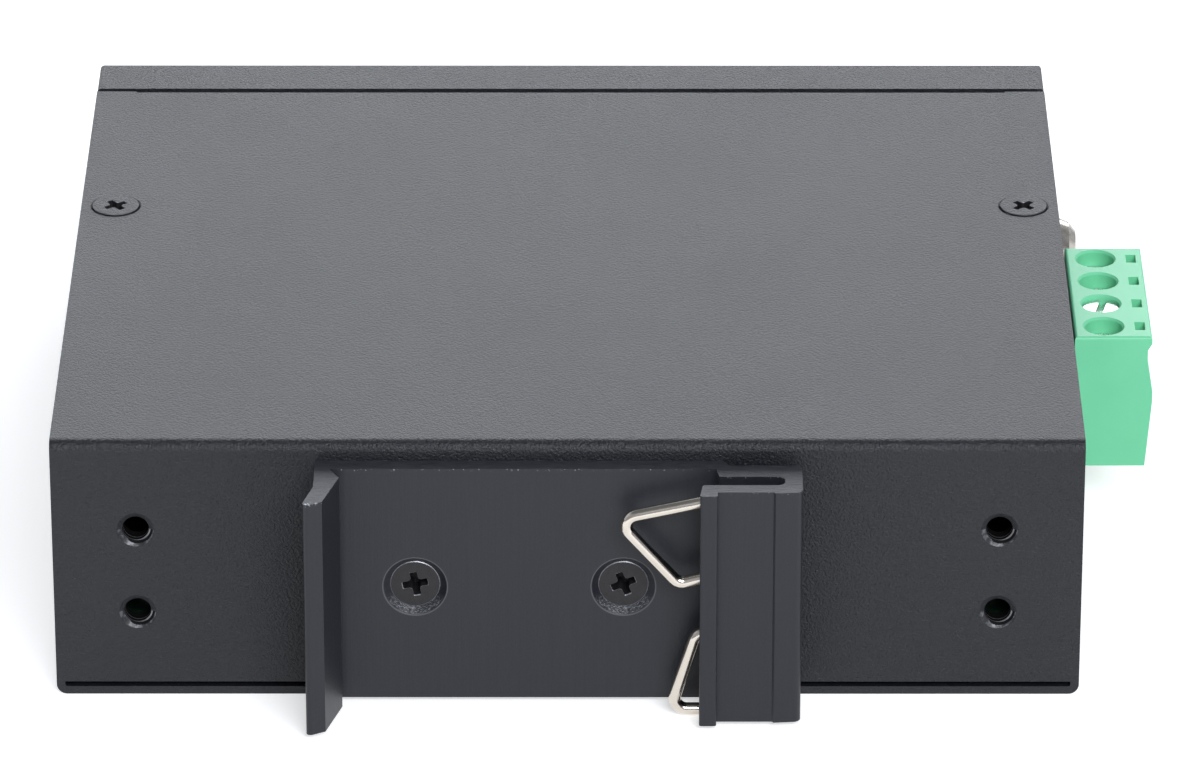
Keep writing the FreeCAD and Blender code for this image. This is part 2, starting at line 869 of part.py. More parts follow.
# Board with its standoffs and screws
pcb = new_body("pcb")
board_outline = rectangle(
    "-side + plate + board_side_gap",
    "side - plate - board_side_gap",
    "back + plate + board_back_gap",
    "front - plate - board_front_gap",
)
pad(pcb, outline(pcb, "XY_Plane", board_outline, "board_bottom"), "board")
pocket(pcb, rings(pcb, "XY_Plane", standoff_spots, "clear_radius", "board_top"), "2 * board")
pole_rows = [f"near_pole + {pole} * pole_pitch" for pole in (3, 2, 1, 0)]
pin_spots = [("pin_rear + pin_width / 2", y) for y in pole_rows]
pin_hole = "pin_width * sqrt(0.5) + pin_clearance"
pocket(pcb, rings(pcb, "XY_Plane", pin_spots, pin_hole, "board_top"), "2 * board")

standoffs = new_body("standoffs")
standoff = turn(standoffs, [
    ("0", "0"),
    ("shank_radius", "0"),
    ("shank_radius", "plate"),
    ("standoff_radius", "plate"),
    ("standoff_radius", "board_bottom"),
    ("tap_radius", "board_bottom"),
    ("tap_radius", "plate"),
    ("0", "plate"),
])
standoff_span = "standoff_right - standoff_left"
standoff_columns = ("Y_Axis", "standoff_far - standoff_near", 2)
repeat(standoffs, [standoff], "X_Axis", standoff_span, 2, standoff_columns)
stand(standoffs, "standoff_left", "standoff_near", "0")

pcb_screws, turned = pan_screw("pcb_screws", "board_screw_length")
repeat(pcb_screws, [turned], "X_Axis", standoff_span, 2, standoff_columns)
stand(pcb_screws, "standoff_left", "standoff_near", "board_top")


def network_socket(label, middle):
    """Shielded socket: folded shield, moulded insert with a stepped port, eight contacts."""
    half = "jack_width / 2"
    top = "board_top + jack_height"
    shield = new_body(label + "_shield")
    hood = [
        (f"{middle} - {half}", "board_top"),
        (f"{middle} - {half}", top),
        (f"{middle} + {half}", top),
        (f"{middle} + {half}", "board_top"),
        (f"{middle} + {half} - shield", "board_top"),
        (f"{middle} + {half} - shield", f"{top} - shield"),
        (f"{middle} - {half} + shield", f"{top} - shield"),
        (f"{middle} - {half} + shield", "board_top"),
    ]
    pad(shield, outline(shield, "XZ_Plane", hood, "-(jack_rear)"), "jack_depth", flip=True)
    block(
        shield,
        "Additive",
        (f"{middle} - {half} + shield", "jack_rear", "board_top"),
        (f"{middle} + {half} - shield", "jack_rear + shield", f"{top} - shield"),
    )

    insert = new_body(label + "_insert")
    wall = f"{half} - shield - shield_gap"
    moulding = rectangle(
        f"{middle} - ({wall})",
        f"{middle} + ({wall})",
        "board_top",
        f"{top} - shield - shield_gap",
    )
    insert_length = "jack_depth - shield - shield_gap"
    pad(insert, outline(insert, "XZ_Plane", moulding, "-(jack_front)"), insert_length)
    floor = "board_top + port_floor"
    port = [
        (f"{middle} - port_width / 2", floor),
        (f"{middle} - latch_width / 2", floor),
        (f"{middle} - latch_width / 2", f"{floor} - latch_drop"),
        (f"{middle} - catch_width / 2", f"{floor} - latch_drop"),
        (f"{middle} - catch_width / 2", f"{floor} - latch_drop - catch_drop"),
        (f"{middle} + catch_width / 2", f"{floor} - latch_drop - catch_drop"),
        (f"{middle} + catch_width / 2", f"{floor} - latch_drop"),
        (f"{middle} + latch_width / 2", f"{floor} - latch_drop"),
        (f"{middle} + latch_width / 2", floor),
        (f"{middle} + port_width / 2", floor),
        (f"{middle} + port_width / 2", "port_ceiling"),
        (f"{middle} - port_width / 2", "port_ceiling"),
    ]
    port_sketch = outline(insert, "XZ_Plane", port, "-(jack_front)")
    pocket(insert, port_sketch, "2 * port_depth", midplane=True)

    contacts = new_body(label + "_contacts")
    rest = "jack_front - port_depth"
    bow = "jack_front - contact_front"
    finger = [
        (rest, "port_ceiling"),
        (bow, "port_ceiling"),
        (bow, "port_ceiling - 2 * contact_thickness"),
        (f"{rest} + contact_tip", "port_ceiling - contact_drop"),
        (f"{rest} + contact_tip", "port_ceiling - contact_drop + contact_thickness"),
        (f"{bow} - contact_thickness", "port_ceiling - 1.5 * contact_thickness"),
        (f"{bow} - contact_thickness", "port_ceiling - contact_thickness"),
        (rest, "port_ceiling - contact_thickness"),
    ]
    start = f"{middle} - 3.5 * contact_pitch"
    sprung = pad(
        contacts,
        outline(contacts, "YZ_Plane", finger, f"{start} - contact_width / 2"),
        "contact_width",
    )
    repeat(contacts, [sprung], "X_Axis", "7 * contact_pitch", 8)


# Network sockets on the front wall
network_socket("jack_out", "jack_out_middle")
network_socket("jack_in", "jack_in_middle")

# Lamps: two lenses in right-angle holders
led_back = "front + led_proud - led_length"
status_leds = new_body("status_leds")
lens_sketch = rings(status_leds, "XZ_Plane", led_spots, "led_radius", f"-({led_back})")
pad(status_leds, lens_sketch, "led_length", flip=True)
round_edges(status_leds, "led_dome", {"y": "front + led_proud"})

led_holders = new_body("led_holders")
holder_back = f"{led_back} - led_holder_back"
for x in led_starts:
    block(
        led_holders,
        "Additive",
        (f"{x} - led_holder_width / 2", holder_back, "board_top"),
        (
            f"{x} + led_holder_width / 2",
            f"{holder_back} + led_holder_depth",
            "board_top + led_holder_height",
        ),
    )
holder_bores = rings(led_holders, "XZ_Plane", led_spots, "led_radius + led_clearance / 2", f"-({led_back})")
pocket(led_holders, holder_bores, "led_length")

# Terminal header on the board: open box with four bent pins
terminal_header = new_body("terminal_header")
nose_half = "plug_length / 2 + nose_clearance"
header_half = f"{nose_half} + header_end"
block(
    terminal_header,
    "Additive",
    ("header_rear", f"plug_middle - ({header_half})", "board_top"),
    ("header_front", f"plug_middle + {header_half}", "board_top + header_height"),
)
block(
    terminal_header,
    "Subtractive",
    ("cavity_rear", f"plug_middle - ({nose_half})", "nose_floor - nose_clearance"),
    ("header_front + overcut", f"plug_middle + {nose_half}", "nose_top + nose_clearance"),
)
pin_half = "pin_width / 2 + pin_clearance"
pin_way = block(
    terminal_header,
    "Subtractive",
    ("header_rear - overcut", f"near_pole - ({pin_half})", f"pin_height - ({pin_half})"),
    ("cavity_rear + overcut", f"near_pole + {pin_half}", f"pin_height + {pin_half}"),
)
repeat(terminal_header, [pin_way], "Y_Axis", "3 * pole_pitch", 4)

header_pins = new_body("header_pins")
pin_profile = [
    ("pin_rear", "board_bottom - pin_tail"),
    ("pin_rear + pin_width", "board_bottom - pin_tail"),
    ("pin_rear + pin_width", "pin_height - pin_width / 2"),
    ("cavity_rear + pin_reach", "pin_height - pin_width / 2"),
    ("cavity_rear + pin_reach", "pin_height + pin_width / 2"),
    ("pin_rear", "pin_height + pin_width / 2"),
]
pin = pad(
    header_pins,
    outline(header_pins, "XZ_Plane", pin_profile, "-(near_pole)"),
    "pin_width",
    midplane=True,
)
repeat(header_pins, [pin], "Y_Axis", "3 * pole_pitch", 4)

# Plug housing: tower with screw wells outside the box, nose that goes into the header
plug_housing = new_body("plug_housing")
plug_profile = [
    ("nose_left", "nose_floor"),
    ("tower_left", "nose_floor"),
    ("tower_left", "plug_floor"),
    ("tower_right - plug_notch", "plug_floor"),
    ("tower_right + plug_bulge", "plug_top - plug_bulge_low"),
    ("tower_right + plug_bulge", "plug_top - plug_bulge_high"),
    ("tower_right - plug_notch", "plug_top - plug_waist_low"),
    ("tower_right - plug_notch", "plug_top - plug_waist_high"),
    ("tower_right", "plug_top - plug_rim"),
    ("tower_right", "plug_top"),
    ("tower_left", "plug_top"),
    ("tower_left", "nose_top"),
    ("nose_left", "nose_top"),
]
plug_sketch = outline(plug_housing, "XZ_Plane", plug_profile, "-(plug_middle)")
pad(plug_housing, plug_sketch, "plug_length", midplane=True)
round_edges(
    plug_housing,
    "plug_round",
    {"y": "plug_near", "z": "plug_top"},
    {"y": "plug_far", "z": "plug_top"},
    {"x": "tower_left", "z": "plug_top"},
    {"x": "tower_right", "z": "plug_top"},
)
well = round_feature(
    plug_housing,
    "Subtractive",
    ("well_x", "near_pole", "pocket_top - overcut"),
    (0, 0, 1),
    "well_radius",
    "plug_top - pocket_top + 2 * overcut",
)
well_mouth = round_feature(
    plug_housing,
    "Subtractive",
    ("well_x", "near_pole", "plug_top - well_rim"),
    (0, 0, 1),
    "well_radius",
    "2 * well_rim",
    "well_radius + 2 * well_rim",
)
probe = block(
    plug_housing,
    "Subtractive",
    (
        "tower_right - probe_inset - probe_width / 2",
        "near_pole - probe_length / 2",
        "plug_top - probe_depth",
    ),
    (
        "tower_right - probe_inset + probe_width / 2",
        "near_pole + probe_length / 2",
        "plug_top + overcut",
    ),
)
cage_half = "cage_width / 2 + cage_clearance"
cage_room = block(
    plug_housing,
    "Subtractive",
    (
        "well_x - cage_depth / 2 - cage_clearance",
        f"near_pole - ({cage_half})",
        "cage_low - cage_clearance",
    ),
    ("well_x + cage_depth / 2 + cage_clearance", f"near_pole + {cage_half}", "pocket_top"),
)
socket_half = "socket_width / 2 + socket_clearance"
socket_room = block(
    plug_housing,
    "Subtractive",
    ("nose_left + nose_tip", f"near_pole - ({socket_half})", f"pin_height - ({socket_half})"),
    ("well_x", f"near_pole + {socket_half}", f"pin_height + {socket_half}"),
)
mouth_half = "pin_width / 2 + pin_mouth_clearance"
pin_mouth = block(
    plug_housing,
    "Subtractive",
    ("nose_left - overcut", f"near_pole - ({mouth_half})", f"pin_height - ({mouth_half})"),
    ("nose_left + nose_tip + overcut", f"near_pole + {mouth_half}", f"pin_height + {mouth_half}"),
)
pole_cuts = [well, well_mouth, probe, cage_room, socket_room, pin_mouth]
repeat(plug_housing, pole_cuts, "Y_Axis", "3 * pole_pitch", 4)
wire_height = "(cage_low + cage_floor + tongue_bottom) / 2"
wire_spots = [(y, wire_height) for y in pole_rows]
wire_sketch = rings(plug_housing, "YZ_Plane", wire_spots, "wire_hole_radius", "well_x")
pocket(plug_housing, wire_sketch, "plug_reach", flip=True)
for y, z in wire_spots:
    round_feature(
        plug_housing,
        "Subtractive",
        ("tower_right - plug_notch - wire_mouth_radius + wire_hole_radius", y, z),
        (1, 0, 0),
        "wire_hole_radius",
        "2 * (wire_mouth_radius - wire_hole_radius)",
        "2 * wire_mouth_radius - wire_hole_radius",
    )

# Plug contacts: a socket sleeve with a tongue that reaches through the clamp cage
plug_contacts = new_body("plug_contacts")
sleeve = block(
    plug_contacts,
    "Additive",
    ("socket_left", "near_pole - socket_width / 2", "pin_height - socket_width / 2"),
    ("socket_left + socket_length", "near_pole + socket_width / 2", "pin_height + socket_width / 2"),
)
sleeve_bore = block(
    plug_contacts,
    "Subtractive",
    (
        "socket_left - overcut",
        "near_pole - socket_width / 2 + socket_wall",
        "pin_height - socket_width / 2 + socket_wall",
    ),
    (
        "socket_left + socket_length + overcut",
        "near_pole + socket_width / 2 - socket_wall",
        "pin_height + socket_width / 2 - socket_wall",
    ),
)
tongue = block(
    plug_contacts,
    "Additive",
    ("socket_left + socket_length", "near_pole - tongue_width / 2", "tongue_bottom"),
    ("well_x + cage_depth / 2", "near_pole + tongue_width / 2", "tongue_top"),
)
repeat(plug_contacts, [sleeve, sleeve_bore, tongue], "Y_Axis", "3 * pole_pitch", 4)

# Clamp screws and rising cages, one of each for every pole
slot_turns = (25, 110, 77.5, 140)
for pole, (pole_y, slot_turn) in enumerate(zip(pole_rows, slot_turns), start=1):
    lift = "third_screw_raise" if pole == 3 else "0"
    screw = new_body(f"terminal_screw_{pole}")
    turn(screw, [
        ("0", "0"),
        ("thread_radius", "0"),
        ("thread_radius", "clamp_screw_length - clamp_head_height"),
        ("clamp_head_radius", "clamp_screw_length - clamp_head_height"),
        ("clamp_head_radius", "clamp_screw_length"),
        ("0", "clamp_screw_length"),
    ])
    block(
        screw,
        "Subtractive",
        ("-2 * clamp_head_radius", "-clamp_slot_width / 2", "clamp_screw_length - clamp_slot_depth"),
        ("2 * clamp_head_radius", "clamp_slot_width / 2", "clamp_screw_length + overcut"),
    )
    stand(screw, "well_x", pole_y, f"tongue_top + clamp_tip_gap + {lift}", twist=slot_turn)

    cage = new_body(f"clamp_cage_{pole}")
    ring = rectangle("-cage_width / 2", "cage_width / 2", "0", "cage_floor + cage_window + cage_top")
    pad(cage, outline(cage, "YZ_Plane", ring), "cage_depth", midplane=True)
    gap = rectangle(
        "-cage_width / 2 + cage_side",
        "cage_width / 2 - cage_side",
        "cage_floor",
        "cage_floor + cage_window",
    )
    pocket(cage, outline(cage, "YZ_Plane", gap), "2 * cage_depth", midplane=True)
    round_feature(
        cage,
        "Subtractive",
        ("0", "0", "cage_floor + cage_window - overcut"),
        (0, 0, 1),
        "thread_radius + clamp_clearance",
        "cage_top + 2 * overcut",
    )
    stand(cage, "well_x", pole_y, "cage_low")

# Ground screw and its toothed washer on the terminal end
ground_washer = new_body("ground_washer")
turn(ground_washer, [
    ("clear_radius", "0"),
    ("ground_washer_radius", "0"),
    ("ground_washer_radius", "ground_washer"),
    ("clear_radius", "ground_washer"),
])
tooth_gap = block(
    ground_washer,
    "Subtractive",
    ("ground_washer_radius - tooth_depth", "-tooth_gap / 2", "-overcut"),
    ("ground_washer_radius + overcut", "tooth_gap / 2", "ground_washer + overcut"),
)
teeth = ground_washer.newObject("PartDesign::PolarPattern", "ground_washer_teeth")
teeth.Originals = [tooth_gap]
teeth.Axis = (origin_feature(ground_washer, "Z_Axis"), [""])
teeth.Angle = 360
teeth.Occurrences = 10
ground_washer.Tip = teeth
stand(ground_washer, "side", "ground_middle", "ground_height", (1, 0, 0))
ground_screw, turned = pan_screw("ground_screw", "ground_screw_length")
cross_recess(ground_screw, "pan_height")
stand(ground_screw, "ground_seat", "ground_middle", "ground_height", (1, 0, 0))

# Small parts that stand on the board, each with its own origin at the middle of its foot


def leaded_chip(label, spot, size, pitch="lead_pitch", leads=8):
    """A moulded chip on two rows of bent leads: size is length, width and height."""
    length, width, height = size
    body = new_body(label)
    block(
        body,
        "Additive",
        (f"-{length} / 2", f"-{width} / 2", "lead_lift"),
        (f"{length} / 2", f"{width} / 2", height),
    )
    round_edges(body, "chip_edge", {"z": height})
    rows = []
    for facing in ("1", "-1"):
        out = f"{facing} * ({width} / 2 + lead_foot)"
        knee = f"{facing} * ({width} / 2 + lead_knee)"
        inner_knee = f"{facing} * ({width} / 2 + lead_knee - lead_sheet)"
        lead = [
            (f"{facing} * ({width} / 2 - lead_sheet)", f"{height} / 2"),
            (knee, f"{height} / 2"),
            (knee, "lead_sheet"),
            (out, "lead_sheet"),
            (out, "0"),
            (inner_knee, "0"),
            (inner_knee, f"{height} / 2 - lead_sheet"),
            (f"{facing} * ({width} / 2 - lead_sheet)", f"{height} / 2 - lead_sheet"),
        ]
        start = f"-{pitch} * {leads - 1} / 2 - lead_width / 2"
        rows.append(pad(body, outline(body, "YZ_Plane", lead, start), "lead_width"))
    repeat(body, rows, "X_Axis", f"{pitch} * {leads - 1}", leads)
    stand(body, *spot, "board_top")


def power_package(label, spot):
    """A transistor package soldered flat by its metal tab, with two bent leads."""
    body = new_body(label)
    block(
        body,
        "Additive",
        ("-power_width / 2", "-power_depth / 2", "0"),
        ("power_width / 2", "power_depth / 2", "power_height"),
    )
    round_edges(body, "chip_edge", {"z": "power_height"})
    block(
        body,
        "Additive",
        ("-power_tab_width / 2", "power_depth / 2", "0"),
        ("power_tab_width / 2", "power_depth / 2 + power_tab", "power_tab_sheet"),
    )
    lead = [
        ("-power_depth / 2", "power_height / 2"),
        ("-power_depth / 2 - lead_foot", "power_height / 2"),
        ("-power_depth / 2 - lead_foot", "lead_sheet"),
        ("-power_depth / 2 - 2 * lead_foot", "lead_sheet"),
        ("-power_depth / 2 - 2 * lead_foot", "0"),
        ("-power_depth / 2 - lead_foot + lead_sheet", "0"),
        ("-power_depth / 2 - lead_foot + lead_sheet", "power_height / 2 - lead_sheet"),
        ("-power_depth / 2", "power_height / 2 - lead_sheet"),
    ]
    start = "-power_pitch - power_lead / 2"
    foot = pad(body, outline(body, "YZ_Plane", lead, start), "power_lead")
    repeat(body, [foot], "X_Axis", "2 * power_pitch", 2)
    stand(body, *spot, "board_top")


def can_capacitor(label, radius, height):
    """An electrolytic can with a rolled top edge."""
    body = new_body(label)
    can = turn(body, [
        ("0", "0"),
        (radius, "0"),
        (radius, f"{height} - can_edge"),
        (f"{radius} - can_edge", height),
        ("0", height),
    ])
    return body, can


# Data transformers behind the sockets, input rectifiers and the controller chip
magnetics_size = ("magnetics_length", "magnetics_width", "magnetics_height")
for socket in ("out", "in"):
    spot = (f"jack_{socket}_middle", "magnetics_y")
    leaded_chip(f"lan_magnetics_{socket}", spot, magnetics_size)
bridge_size = ("bridge_length", "bridge_width", "bridge_height")
for index in (0, 1):
    spot = (f"bridge_x + {index} * bridge_spacing", "bridge_y")
    leaded_chip(f"bridge_rectifier_{index + 1}", spot, bridge_size, "4 * lead_pitch", 2)
controller_size = ("controller_length", "controller_width", "controller_height")
leaded_chip("pd_controller", ("controller_x", "controller_y"), controller_size)

# Converter: switching transistor, transformer, rectifier, inductor and capacitors
power_package("switching_transistor", ("-side + switch_inset", "back + switch_back"))
power_package("output_rectifier", ("side - rectifier_inset", "back + rectifier_back"))

input_capacitor, can = can_capacitor("input_capacitor", "input_can_radius", "input_can_height")
stand(input_capacitor, "-side + input_can_inset", "back + input_can_back", "board_top")
output_capacitors, can = can_capacitor("output_capacitors", "output_can_radius", "output_can_height")
repeat(output_capacitors, [can], "X_Axis", "2 * output_can_radius + can_gap", 2)
stand(output_capacitors, "side - output_can_inset", "back + output_can_back", "board_top")

transformer_core = new_body("transformer_core")
half_core = "core_length / 2"
core_outline = rectangle(f"-{half_core}", half_core, "-core_width / 2", "core_width / 2")
pad(transformer_core, outline(transformer_core, "XY_Plane", core_outline, "core_lift"), "core_thickness")
for left, right in (
    (f"-{half_core} + core_leg", "-core_leg"),
    ("core_leg", f"{half_core} - core_leg"),
):
    window = rectangle(left, right, "-core_width / 2 + core_leg", "core_width / 2 - core_leg")
    pocket(
        transformer_core,
        outline(transformer_core, "XY_Plane", window, "core_lift + core_thickness"),
        "2 * core_thickness",
    )
stand(transformer_core, "core_x", "back + core_back", "board_top")

transformer_bobbin = new_body("transformer_bobbin")
winding_end = "core_width / 2 - core_leg - bobbin_gap"
winding_low = "core_lift - winding_build"
winding_high = "core_lift + core_thickness + winding_build"
block(
    transformer_bobbin,
    "Additive",
    ("-core_leg - winding_build", f"-({winding_end})", winding_low),
    ("core_leg + winding_build", winding_end, winding_high),
)
round_edges(
    transformer_bobbin,
    "winding_round",
    {"x": "-core_leg - winding_build", "z": winding_high},
    {"x": "core_leg + winding_build", "z": winding_high},
)
for start, end in (
    ("-core_width / 2 - bobbin_rail", "-core_width / 2 + core_leg"),
    ("core_width / 2 - core_leg", "core_width / 2 + bobbin_rail"),
):
    block(
        transformer_bobbin,
        "Additive",
        (f"-{half_core} + core_leg", start, "bobbin_lift"),
        (f"{half_core} - core_leg", end, "core_lift - bobbin_gap"),
    )
block(
    transformer_bobbin,
    "Additive",
    ("-core_leg", "-core_width / 2", "bobbin_lift"),
    ("core_leg", "core_width / 2", winding_low),
)
block(
    transformer_bobbin,
    "Subtractive",
    ("-core_leg - bobbin_gap", "-core_width", "core_lift - bobbin_gap"),
    ("core_leg + bobbin_gap", "core_width", "core_lift + core_thickness + bobbin_gap"),
)
feet = []
pin_x = "-1.5 * bobbin_pin_pitch"
for y in ("-core_width / 2 - bobbin_rail / 2", "core_width / 2 + bobbin_rail / 2"):
    feet.append(
        block(
            transformer_bobbin,
            "Additive",
            (f"{pin_x} - bobbin_pin / 2", f"{y} - bobbin_pin / 2", "0"),
            (f"{pin_x} + bobbin_pin / 2", f"{y} + bobbin_pin / 2", "bobbin_lift"),
        )
    )
repeat(transformer_bobbin, feet, "X_Axis", "3 * bobbin_pin_pitch", 4)
stand(transformer_bobbin, "core_x", "back + core_back", "board_top")

output_inductor = new_body("output_inductor")
half_choke = "choke_width / 2"
choke_outline = rectangle(f"-{half_choke}", half_choke, f"-{half_choke}", half_choke)
pad(output_inductor, outline(output_inductor, "XY_Plane", choke_outline), "choke_height")
round_edges(
    output_inductor,
    "choke_corner",
    {"x": half_choke, "y": half_choke},
    {"x": f"-{half_choke}", "y": half_choke},
    {"x": half_choke, "y": f"-{half_choke}"},
    {"x": f"-{half_choke}", "y": f"-{half_choke}"},
)
groove = output_inductor.newObject("PartDesign::Groove", "output_inductor_gap")
groove.Profile = outline(
    output_inductor,
    "XZ_Plane",
    rectangle("choke_drum", "choke_drum + choke_gap", "choke_height - choke_gap", "choke_height + overcut"),
)
groove.ReferenceAxis = (origin_feature(output_inductor, "Z_Axis"), [""])
groove.Angle = 360
stand(output_inductor, "side - choke_inset", "back + choke_back", "board_top")

doc.recompute()
for part in doc.Objects:
    if "Invalid" in part.State or "Error" in part.State:
        raise RuntimeError(f"{part.Label} failed: {part.State}")
for node in nodes:
    if node.Shape.isNull() or not node.Shape.isValid():
        raise RuntimeError(f"{node.Label} has no valid shape")

os.makedirs("parts", exist_ok=True)
for node in nodes:
    node.Shape.exportStep(f"parts/{node.Label}.step")
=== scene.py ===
import json
import math

import bmesh
import bpy
from mathutils import Matrix, Vector


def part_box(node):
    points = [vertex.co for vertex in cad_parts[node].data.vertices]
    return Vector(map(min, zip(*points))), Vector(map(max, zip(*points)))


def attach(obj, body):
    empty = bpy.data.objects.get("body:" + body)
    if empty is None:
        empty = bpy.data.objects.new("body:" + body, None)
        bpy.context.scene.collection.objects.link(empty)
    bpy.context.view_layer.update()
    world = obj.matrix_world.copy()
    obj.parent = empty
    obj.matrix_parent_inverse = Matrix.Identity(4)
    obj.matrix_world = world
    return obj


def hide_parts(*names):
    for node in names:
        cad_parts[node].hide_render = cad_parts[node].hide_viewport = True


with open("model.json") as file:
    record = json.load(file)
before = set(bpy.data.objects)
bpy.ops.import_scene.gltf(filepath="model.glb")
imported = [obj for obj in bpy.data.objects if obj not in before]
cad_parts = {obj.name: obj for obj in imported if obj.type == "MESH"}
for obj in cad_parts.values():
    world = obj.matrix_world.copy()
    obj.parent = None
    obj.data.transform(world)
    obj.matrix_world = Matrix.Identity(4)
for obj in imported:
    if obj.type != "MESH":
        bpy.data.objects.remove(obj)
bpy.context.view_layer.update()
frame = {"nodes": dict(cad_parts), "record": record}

# Chassis and cover: two folded sheets of 0.8 mm steel in a black powder coat with a fine, dry texture.
# The chassis is the lower side, both ends and the front with its flange. The cover is the upper side
# and the back, and two screws hold it on the chassis.


class Term:
    """A socket in a material's nodes. Python's operators on terms add Math nodes."""

    def __init__(self, tree, socket):
        self.tree = tree
        self.socket = socket

    def node(self, kind, settings, sockets, output=0):
        """A node of any kind: its settings first, then the values or links of its sockets."""
        fresh = self.tree.nodes.new(kind)
        for name, setting in settings.items():
            setattr(fresh, name, setting)
        self.feed(fresh, sockets)
        return Term(self.tree, fresh.outputs[output])

    def feed(self, target, sockets):
        """Links terms to a node's sockets, and sets plain values on them."""
        for name, given in sockets.items():
            if isinstance(given, Term):
                self.tree.links.new(given.socket, target.inputs[name])
            else:
                target.inputs[name].default_value = given

    def reckon(self, operation, *values):
        """A Math node on one or two values, which are terms or numbers."""
        return self.node("ShaderNodeMath", {"operation": operation}, dict(enumerate(values)))

    def __add__(self, other):
        return self.reckon("ADD", self, other)

    __radd__ = __add__

    def __mul__(self, other):
        return self.reckon("MULTIPLY", self, other)

    __rmul__ = __mul__

    def __sub__(self, other):
        return self.reckon("SUBTRACT", self, other)

    def __rsub__(self, other):
        return self.reckon("SUBTRACT", other, self)

    def __abs__(self):
        return self.reckon("ABSOLUTE", self)

    def stretch(self, along):
        """These coordinates, scaled by a factor along each axis."""
        settings = {"operation": "MULTIPLY"}
        return self.node("ShaderNodeVectorMath", settings, {0: self, 1: along})

    def noise(self, scale, detail=2.0):
        """A cloud from 0 to 1 on these coordinates, with about scale features to the metre.

        It is turned askew, so that no flat face shows the noise's own grid.
        """
        turn = {"Vector": self, "Rotation": (0.6, 0.4, 0.9)}
        askew = self.node("ShaderNodeVectorRotate", {"rotation_type": "EULER_XYZ"}, turn)
        sockets = {"Vector": askew, "Scale": scale, "Detail": detail, "Roughness": 0.55}
        return self.node("ShaderNodeTexNoise", {}, sockets)

    def axis(self, name):
        """One of these coordinates by itself, in metres."""
        return self.node("ShaderNodeSeparateXYZ", {}, {"Vector": self}, name)

    def step(self, low, high):
        """0 below low, 1 above high, smooth between."""
        settings = {"interpolation_type": "SMOOTHSTEP"}
        sockets = {"Value": self, "From Min": low, "From Max": high}
        return self.node("ShaderNodeMapRange", settings, sockets)

    def mix(self, first, second):
        """A colour between two, by this factor."""
        shades = [c if isinstance(c, Term) else (*c, 1.0) for c in (first, second)]
        sockets = {0: self, 6: shades[0], 7: shades[1]}
        return self.node("ShaderNodeMix", {"data_type": "RGBA"}, sockets, 2)

    def bump(self, strength, depth):
        """A normal from this height, with its depth in metres."""
        sockets = {"Height": self, "Strength": strength, "Distance": depth}
        return self.node("ShaderNodeBump", {}, sockets)


def finish(name, constants):
    """A new material with its Principled shader and its Object coordinates."""
    material = bpy.data.materials.new(name)
    material.use_nodes = True
    tree = material.node_tree
    shader = tree.nodes["Principled BSDF"]
    for socket, given in constants.items():
        shader.inputs[socket].default_value = given
    coordinates = tree.nodes.new("ShaderNodeTexCoord")
    return material, shader, Term(tree, coordinates.outputs["Object"])


def dress(material, *names):
    """Gives a material to CAD nodes."""
    for name in names:
        for material_slot in frame["nodes"][name].material_slots:
            material_slot.material = material


powder_coat, shader, place = finish("black powder coat", {"Specular IOR Level": 0.46})
grain = place.noise(4200, 3.0)
cloud = place.noise(60)
sparkle = place.noise(6200, 1.0).step(0.62, 0.72)
place.feed(shader, {
    "Base Color": (grain * 0.8 + sparkle * 0.5).mix((0.003, 0.0035, 0.006), (0.015, 0.016, 0.021)),
    "Roughness": 0.34 + grain * 0.14 + cloud * 0.05,
    "Normal": (grain + sparkle * 0.4).bump(1.0, 0.00014),
})
dress(powder_coat, "chassis", "cover")

# Board and its parts: a green solder-masked board, screwed to four zinc-plated standoffs in the chassis.
# Data transformers, rectifiers, a controller, capacitors, a transformer and an inductor are soldered on
# it, and the closed box hides them all.

zinc, shader, place = finish("zinc plated steel", {"Metallic": 1.0})
bloom = place.noise(900, 3.0)
fine = place.noise(6500)
place.feed(shader, {
    "Base Color": bloom.mix((0.56, 0.55, 0.52), (0.80, 0.80, 0.79)),
    "Roughness": 0.20 + fine * 0.16,
    "Normal": fine.bump(0.10, 0.00002),
})
dress(zinc, "standoffs", "pcb_screws")

solder_mask, shader, place = finish("green solder mask", {"Coat Weight": 0.3})
flat_place = place.stretch((1.0, 1.0, 0.0))
bricks = {"Vector": flat_place, "Scale": 260.0, "Mortar Size": 0.05}
tracks = flat_place.node("ShaderNodeTexBrick", {"offset": 0.5}, bricks, "Fac")
weave = place.noise(3000)
place.feed(shader, {
    "Base Color": (tracks * 0.7 + weave * 0.3).mix((0.004, 0.014, 0.008), (0.008, 0.030, 0.016)),
    "Roughness": 0.28 + weave * 0.12,
})
dress(solder_mask, "pcb")

black_moulding, shader, place = finish("black moulding", {"Specular IOR Level": 0.4})
spark = place.noise(4200, 3.0)
place.feed(shader, {
    "Base Color": spark.mix((0.012, 0.012, 0.013), (0.026, 0.026, 0.027)),
    "Roughness": 0.42 + spark * 0.2,
    "Normal": spark.bump(0.2, 0.00003),
})
dress(
    black_moulding,
    "lan_magnetics_out", "lan_magnetics_in", "bridge_rectifier_1", "bridge_rectifier_2",
    "pd_controller", "switching_transistor", "output_rectifier",
)

sleeve, shader, place = finish("capacitor sleeve", {})
shrink = place.noise(700)
place.feed(shader, {
    "Base Color": shrink.mix((0.020, 0.024, 0.040), (0.040, 0.046, 0.070)),
    "Roughness": 0.22 + shrink * 0.12,
})
dress(sleeve, "input_capacitor", "output_capacitors")

ferrite, shader, place = finish("sintered ferrite", {})
powder = place.noise(4000, 3.0)
place.feed(shader, {
    "Base Color": powder.mix((0.030, 0.030, 0.031), (0.075, 0.074, 0.073)),
    "Roughness": 0.50 + powder * 0.2,
    "Normal": powder.bump(0.25, 0.00004),
})
dress(ferrite, "transformer_core", "output_inductor")

